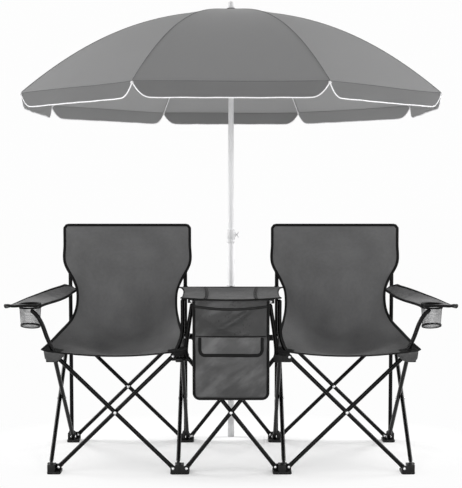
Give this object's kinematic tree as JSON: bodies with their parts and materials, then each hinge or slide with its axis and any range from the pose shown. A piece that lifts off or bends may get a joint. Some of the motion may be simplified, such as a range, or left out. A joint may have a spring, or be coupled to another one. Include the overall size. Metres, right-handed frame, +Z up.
{
  "type": "umbrella chair",
  "caption": "Folding camp chair for two people with a fabric table, a hanging cooler bag and a parasol on a telescoping mast.",
  "frame": {"origin": "on the floor under the axis of the umbrella's mast", "axes": "+Z up, the sitters face -Y, +X to the right of someone who looks at the front"},
  "size_m": [1.482, 1.4284, 1.6173],
  "materials": {
    "seat_fabric": "matt woven polyester",
    "cooler_fabric": "coated woven polyester with a slight sheen",
    "cup_mesh": "open knitted net",
    "canopy_fabric": "taut woven polyester",
    "black_enamel": "gloss",
    "black_plastic": "satin moulded",
    "white_enamel": "gloss",
    "white_plastic": "satin moulded"
  },
  "bodies": {
    "rear_foot_inner_left": {"rear_foot_inner_left": "black_plastic", "back_post_inner_left": "black_enamel", "mast_holder": "black_plastic", "chair_sling_left": "seat_fabric", "table_top": "seat_fabric"},
    "side_forward_tube_inner_left": {"side_forward_tube_inner_left": "black_enamel"},
    "side_backward_tube_inner_left": {"side_backward_tube_inner_left": "black_enamel"},
    "front_foot_inner_left": {"front_foot_inner_left": "black_plastic", "cooler_bag": "cooler_fabric"},
    "seat_bracket_inner_left": {"seat_bracket_inner_left": "black_plastic"},
    "back_slider_inner_left": {"back_slider_inner_left": "black_plastic"},
    "rear_table_rising_tube": {"rear_table_rising_tube": "black_enamel"},
    "rear_table_falling_tube": {"rear_table_falling_tube": "black_enamel"},
    "rear_foot_inner_right": {"rear_foot_inner_right": "black_plastic", "back_post_inner_right": "black_enamel", "chair_sling_right": "seat_fabric"},
    "side_forward_tube_inner_right": {"side_forward_tube_inner_right": "black_enamel"},
    "side_backward_tube_inner_right": {"side_backward_tube_inner_right": "black_enamel"},
    "front_foot_inner_right": {"front_foot_inner_right": "black_plastic"},
    "seat_bracket_inner_right": {"seat_bracket_inner_right": "black_plastic"},
    "back_slider_inner_right": {"back_slider_inner_right": "black_plastic"},
    "rear_right_chair_rising_tube": {"rear_right_chair_rising_tube": "black_enamel"},
    "rear_right_chair_falling_tube": {"rear_right_chair_falling_tube": "black_enamel"},
    "rear_foot_outer_right": {"rear_foot_outer_right": "black_plastic", "back_post_outer_right": "black_enamel", "arm_rest_right": "seat_fabric"},
    "side_forward_tube_outer_right": {"side_forward_tube_outer_right": "black_enamel"},
    "side_backward_tube_outer_right": {"side_backward_tube_outer_right": "black_enamel"},
    "front_foot_outer_right": {"front_foot_outer_right": "black_plastic", "cup_holder_right": "cup_mesh"},
    "seat_bracket_outer_right": {"seat_bracket_outer_right": "black_plastic"},
    "back_slider_outer_right": {"back_slider_outer_right": "black_plastic"},
    "rear_left_chair_rising_tube": {"rear_left_chair_rising_tube": "black_enamel"},
    "rear_left_chair_falling_tube": {"rear_left_chair_falling_tube": "black_enamel"},
    "rear_foot_outer_left": {"rear_foot_outer_left": "black_plastic", "back_post_outer_left": "black_enamel", "arm_rest_left": "seat_fabric"},
    "side_forward_tube_outer_left": {"side_forward_tube_outer_left": "black_enamel"},
    "side_backward_tube_outer_left": {"side_backward_tube_outer_left": "black_enamel"},
    "front_foot_outer_left": {"front_foot_outer_left": "black_plastic", "cup_holder_left": "cup_mesh"},
    "seat_bracket_outer_left": {"seat_bracket_outer_left": "black_plastic"},
    "back_slider_outer_left": {"back_slider_outer_left": "black_plastic"},
    "front_left_chair_falling_tube": {"front_left_chair_falling_tube": "black_enamel"},
    "front_left_chair_rising_tube": {"front_left_chair_rising_tube": "black_enamel"},
    "front_table_rising_tube": {"front_table_rising_tube": "black_enamel", "table_cap_right": "black_plastic"},
    "front_table_falling_tube": {"front_table_falling_tube": "black_enamel", "table_cap_left": "black_plastic"},
    "front_right_chair_rising_tube": {"front_right_chair_rising_tube": "black_enamel"},
    "front_right_chair_falling_tube": {"front_right_chair_falling_tube": "black_enamel"},
    "pocket_flap": {"pocket_flap": "cooler_fabric"},
    "lower_mast": {"lower_mast": "white_enamel", "mast_collar": "white_plastic"},
    "upper_mast": {"upper_mast": "white_enamel", "rib_frame": "white_enamel", "strut_frame": "white_enamel", "canopy": "canopy_fabric", "top_cap": "white_plastic"},
    "collar_screw": {"collar_screw": "white_plastic"}
  },
  "joints": [
    {"name": "frame_fold", "type": "hinge", "parent": "rear_foot_inner_left", "child": "side_forward_tube_inner_left", "pos_m": [-0.168, -0.081, 0.02], "axis": [-1, 0, 0], "range_deg": [0, 38], "deforming": ["chair_sling_left", "chair_sling_right", "arm_rest_left", "arm_rest_right", "table_top", "cooler_bag", "pocket_flap"]},
    {"name": "side_backward_tube_inner_left_hinge", "type": "hinge", "parent": "side_forward_tube_inner_left", "child": "side_backward_tube_inner_left", "pos_m": [-0.168, -0.27, 0.204], "axis": [1, 0, 0], "range_deg": [0, 76.2]},
    {"name": "front_foot_inner_left_hinge", "type": "hinge", "parent": "side_backward_tube_inner_left", "child": "front_foot_inner_left", "pos_m": [-0.168, -0.459, 0.02], "axis": [-1, 0, 0], "range_deg": [0, 38.2]},
    {"name": "seat_bracket_inner_left_hinge", "type": "hinge", "parent": "side_forward_tube_inner_left", "child": "seat_bracket_inner_left", "pos_m": [-0.168, -0.459, 0.388], "axis": [1, 0, 0], "range_deg": [0, 38.2]},
    {"name": "back_slider_inner_left_hinge", "type": "hinge", "parent": "side_backward_tube_inner_left", "child": "back_slider_inner_left", "pos_m": [-0.168, -0.081, 0.388], "axis": [-1, 0, 0], "range_deg": [0, 38.2]},
    {"name": "rear_table_rising_tube_hinge", "type": "hinge", "parent": "rear_foot_inner_left", "child": "rear_table_rising_tube", "pos_m": [-0.146, -0.055, 0.02], "axis": [0, -1, 0], "range_deg": [0, 32.11]},
    {"name": "rear_table_falling_tube_hinge", "type": "hinge", "parent": "rear_table_rising_tube", "child": "rear_table_falling_tube", "pos_m": [0, -0.055, 0.204], "axis": [0, 1, 0], "range_deg": [0, 64.02]},
    {"name": "rear_foot_inner_right_hinge", "type": "hinge", "parent": "rear_table_falling_tube", "child": "rear_foot_inner_right", "pos_m": [0.146, -0.055, 0.02], "axis": [0, -1, 0], "range_deg": [0, 32.11]},
    {"name": "side_forward_tube_inner_right_hinge", "type": "hinge", "parent": "rear_foot_inner_right", "child": "side_forward_tube_inner_right", "pos_m": [0.168, -0.081, 0.02], "axis": [-1, 0, 0], "range_deg": [0, 38.2]},
    {"name": "side_backward_tube_inner_right_hinge", "type": "hinge", "parent": "side_forward_tube_inner_right", "child": "side_backward_tube_inner_right", "pos_m": [0.168, -0.27, 0.204], "axis": [1, 0, 0], "range_deg": [0, 76.2]},
    {"name": "front_foot_inner_right_hinge", "type": "hinge", "parent": "side_backward_tube_inner_right", "child": "front_foot_inner_right", "pos_m": [0.168, -0.459, 0.02], "axis": [-1, 0, 0], "range_deg": [0, 38.2]},
    {"name": "seat_bracket_inner_right_hinge", "type": "hinge", "parent": "side_forward_tube_inner_right", "child": "seat_bracket_inner_right", "pos_m": [0.168, -0.459, 0.388], "axis": [1, 0, 0], "range_deg": [0, 38.2]},
    {"name": "back_slider_inner_right_hinge", "type": "hinge", "parent": "side_backward_tube_inner_right", "child": "back_slider_inner_right", "pos_m": [0.168, -0.081, 0.388], "axis": [-1, 0, 0], "range_deg": [0, 38.2]},
    {"name": "rear_right_chair_rising_tube_hinge", "type": "hinge", "parent": "rear_foot_inner_right", "child": "rear_right_chair_rising_tube", "pos_m": [0.19, -0.055, 0.02], "axis": [0, -1, 0], "range_deg": [0, 38.2]},
    {"name": "rear_right_chair_falling_tube_hinge", "type": "hinge", "parent": "rear_right_chair_rising_tube", "child": "rear_right_chair_falling_tube", "pos_m": [0.379, -0.055, 0.204], "axis": [0, 1, 0], "range_deg": [0, 76.2]},
    {"name": "rear_foot_outer_right_hinge", "type": "hinge", "parent": "rear_right_chair_falling_tube", "child": "rear_foot_outer_right", "pos_m": [0.568, -0.055, 0.02], "axis": [0, -1, 0], "range_deg": [0, 38.2]},
    {"name": "side_forward_tube_outer_right_hinge", "type": "hinge", "parent": "rear_foot_outer_right", "child": "side_forward_tube_outer_right", "pos_m": [0.59, -0.081, 0.02], "axis": [-1, 0, 0], "range_deg": [0, 38.2]},
    {"name": "side_backward_tube_outer_right_hinge", "type": "hinge", "parent": "side_forward_tube_outer_right", "child": "side_backward_tube_outer_right", "pos_m": [0.59, -0.27, 0.204], "axis": [1, 0, 0], "range_deg": [0, 76.2]},
    {"name": "front_foot_outer_right_hinge", "type": "hinge", "parent": "side_backward_tube_outer_right", "child": "front_foot_outer_right", "pos_m": [0.59, -0.459, 0.02], "axis": [-1, 0, 0], "range_deg": [0, 38.2]},
    {"name": "seat_bracket_outer_right_hinge", "type": "hinge", "parent": "side_forward_tube_outer_right", "child": "seat_bracket_outer_right", "pos_m": [0.59, -0.459, 0.388], "axis": [1, 0, 0], "range_deg": [0, 38.2]},
    {"name": "back_slider_outer_right_hinge", "type": "hinge", "parent": "side_backward_tube_outer_right", "child": "back_slider_outer_right", "pos_m": [0.59, -0.081, 0.388], "axis": [-1, 0, 0], "range_deg": [0, 38.2]},
    {"name": "rear_left_chair_falling_tube_hinge", "type": "hinge", "parent": "rear_foot_inner_left", "child": "rear_left_chair_falling_tube", "pos_m": [-0.19, -0.055, 0.02], "axis": [0, 1, 0], "range_deg": [0, 38.2]},
    {"name": "rear_left_chair_rising_tube_hinge", "type": "hinge", "parent": "rear_left_chair_falling_tube", "child": "rear_left_chair_rising_tube", "pos_m": [-0.379, -0.055, 0.204], "axis": [0, -1, 0], "range_deg": [0, 76.2]},
    {"name": "rear_foot_outer_left_hinge", "type": "hinge", "parent": "rear_left_chair_rising_tube", "child": "rear_foot_outer_left", "pos_m": [-0.568, -0.055, 0.02], "axis": [0, 1, 0], "range_deg": [0, 38.2]},
    {"name": "side_forward_tube_outer_left_hinge", "type": "hinge", "parent": "rear_foot_outer_left", "child": "side_forward_tube_outer_left", "pos_m": [-0.59, -0.081, 0.02], "axis": [-1, 0, 0], "range_deg": [0, 38.2]},
    {"name": "side_backward_tube_outer_left_hinge", "type": "hinge", "parent": "side_forward_tube_outer_left", "child": "side_backward_tube_outer_left", "pos_m": [-0.59, -0.27, 0.204], "axis": [1, 0, 0], "range_deg": [0, 76.2]},
    {"name": "front_foot_outer_left_hinge", "type": "hinge", "parent": "side_backward_tube_outer_left", "child": "front_foot_outer_left", "pos_m": [-0.59, -0.459, 0.02], "axis": [-1, 0, 0], "range_deg": [0, 38.2]},
    {"name": "seat_bracket_outer_left_hinge", "type": "hinge", "parent": "side_forward_tube_outer_left", "child": "seat_bracket_outer_left", "pos_m": [-0.59, -0.459, 0.388], "axis": [1, 0, 0], "range_deg": [0, 38.2]},
    {"name": "back_slider_outer_left_hinge", "type": "hinge", "parent": "side_backward_tube_outer_left", "child": "back_slider_outer_left", "pos_m": [-0.59, -0.081, 0.388], "axis": [-1, 0, 0], "range_deg": [0, 38.2]},
    {"name": "front_left_chair_falling_tube_hinge", "type": "hinge", "parent": "front_foot_inner_left", "child": "front_left_chair_falling_tube", "pos_m": [-0.19, -0.485, 0.02], "axis": [0, 1, 0], "range_deg": [0, 38.2]},
    {"name": "front_left_chair_rising_tube_hinge", "type": "hinge", "parent": "front_left_chair_falling_tube", "child": "front_left_chair_rising_tube", "pos_m": [-0.379, -0.485, 0.204], "axis": [0, -1, 0], "range_deg": [0, 76.2]},
    {"name": "front_table_rising_tube_hinge", "type": "hinge", "parent": "front_foot_inner_left", "child": "front_table_rising_tube", "pos_m": [-0.146, -0.485, 0.02], "axis": [0, -1, 0], "range_deg": [0, 32.11]},
    {"name": "front_table_falling_tube_hinge", "type": "hinge", "parent": "front_table_rising_tube", "child": "front_table_falling_tube", "pos_m": [0, -0.485, 0.204], "axis": [0, 1, 0], "range_deg": [0, 64.02]},
    {"name": "front_right_chair_rising_tube_hinge", "type": "hinge", "parent": "front_foot_inner_right", "child": "front_right_chair_rising_tube", "pos_m": [0.19, -0.485, 0.02], "axis": [0, -1, 0], "range_deg": [0, 38.2]},
    {"name": "front_right_chair_falling_tube_hinge", "type": "hinge", "parent": "front_right_chair_rising_tube", "child": "front_right_chair_falling_tube", "pos_m": [0.379, -0.485, 0.204], "axis": [0, 1, 0], "range_deg": [0, 76.2]},
    {"name": "flap_lift", "type": "hinge", "parent": "front_foot_inner_left", "child": "pocket_flap", "pos_m": [0, -0.58775, 0.465], "axis": [-1, 0, 0], "range_deg": [0, 110]},
    {"name": "mast_lift", "type": "slide", "parent": "rear_foot_inner_left", "child": "lower_mast", "axis": [0, 0, 1], "range_m": [0, 0.6]},
    {"name": "mast_slide", "type": "slide", "parent": "lower_mast", "child": "upper_mast", "axis": [0, 0, 1], "range_m": [-0.3, 0.1]},
    {"name": "screw_turn", "type": "hinge", "parent": "lower_mast", "child": "collar_screw", "pos_m": [0, 0, 0.761], "axis": [1, 0, 0], "range_deg": [-360, 0]}
  ],
  "couplings": [
    {"joint": "side_backward_tube_inner_left_hinge", "follows": "frame_fold", "ratio": 2},
    {"joint": "front_foot_inner_left_hinge", "follows": "frame_fold", "ratio": 1},
    {"joint": "seat_bracket_inner_left_hinge", "follows": "frame_fold", "ratio": 1},
    {"joint": "back_slider_inner_left_hinge", "follows": "frame_fold", "ratio": 1},
    {"joint": "rear_table_rising_tube_hinge", "follows": "frame_fold", "ratio": 0.8397},
    {"joint": "rear_table_falling_tube_hinge", "follows": "frame_fold", "ratio": 1.6794},
    {"joint": "rear_foot_inner_right_hinge", "follows": "frame_fold", "ratio": 0.8397},
    {"joint": "side_forward_tube_inner_right_hinge", "follows": "frame_fold", "ratio": 1},
    {"joint": "side_backward_tube_inner_right_hinge", "follows": "frame_fold", "ratio": 2},
    {"joint": "front_foot_inner_right_hinge", "follows": "frame_fold", "ratio": 1},
    {"joint": "seat_bracket_inner_right_hinge", "follows": "frame_fold", "ratio": 1},
    {"joint": "back_slider_inner_right_hinge", "follows": "frame_fold", "ratio": 1},
    {"joint": "rear_right_chair_rising_tube_hinge", "follows": "frame_fold", "ratio": 1},
    {"joint": "rear_right_chair_falling_tube_hinge", "follows": "frame_fold", "ratio": 2},
    {"joint": "rear_foot_outer_right_hinge", "follows": "frame_fold", "ratio": 1},
    {"joint": "side_forward_tube_outer_right_hinge", "follows": "frame_fold", "ratio": 1},
    {"joint": "side_backward_tube_outer_right_hinge", "follows": "frame_fold", "ratio": 2},
    {"joint": "front_foot_outer_right_hinge", "follows": "frame_fold", "ratio": 1},
    {"joint": "seat_bracket_outer_right_hinge", "follows": "frame_fold", "ratio": 1},
    {"joint": "back_slider_outer_right_hinge", "follows": "frame_fold", "ratio": 1},
    {"joint": "rear_left_chair_falling_tube_hinge", "follows": "frame_fold", "ratio": 1},
    {"joint": "rear_left_chair_rising_tube_hinge", "follows": "frame_fold", "ratio": 2},
    {"joint": "rear_foot_outer_left_hinge", "follows": "frame_fold", "ratio": 1},
    {"joint": "side_forward_tube_outer_left_hinge", "follows": "frame_fold", "ratio": 1},
    {"joint": "side_backward_tube_outer_left_hinge", "follows": "frame_fold", "ratio": 2},
    {"joint": "front_foot_outer_left_hinge", "follows": "frame_fold", "ratio": 1},
    {"joint": "seat_bracket_outer_left_hinge", "follows": "frame_fold", "ratio": 1},
    {"joint": "back_slider_outer_left_hinge", "follows": "frame_fold", "ratio": 1},
    {"joint": "front_left_chair_falling_tube_hinge", "follows": "frame_fold", "ratio": 1},
    {"joint": "front_left_chair_rising_tube_hinge", "follows": "frame_fold", "ratio": 2},
    {"joint": "front_table_rising_tube_hinge", "follows": "frame_fold", "ratio": 0.8397},
    {"joint": "front_table_falling_tube_hinge", "follows": "frame_fold", "ratio": 1.6794},
    {"joint": "front_right_chair_rising_tube_hinge", "follows": "frame_fold", "ratio": 1},
    {"joint": "front_right_chair_falling_tube_hinge", "follows": "frame_fold", "ratio": 2}
  ]
}
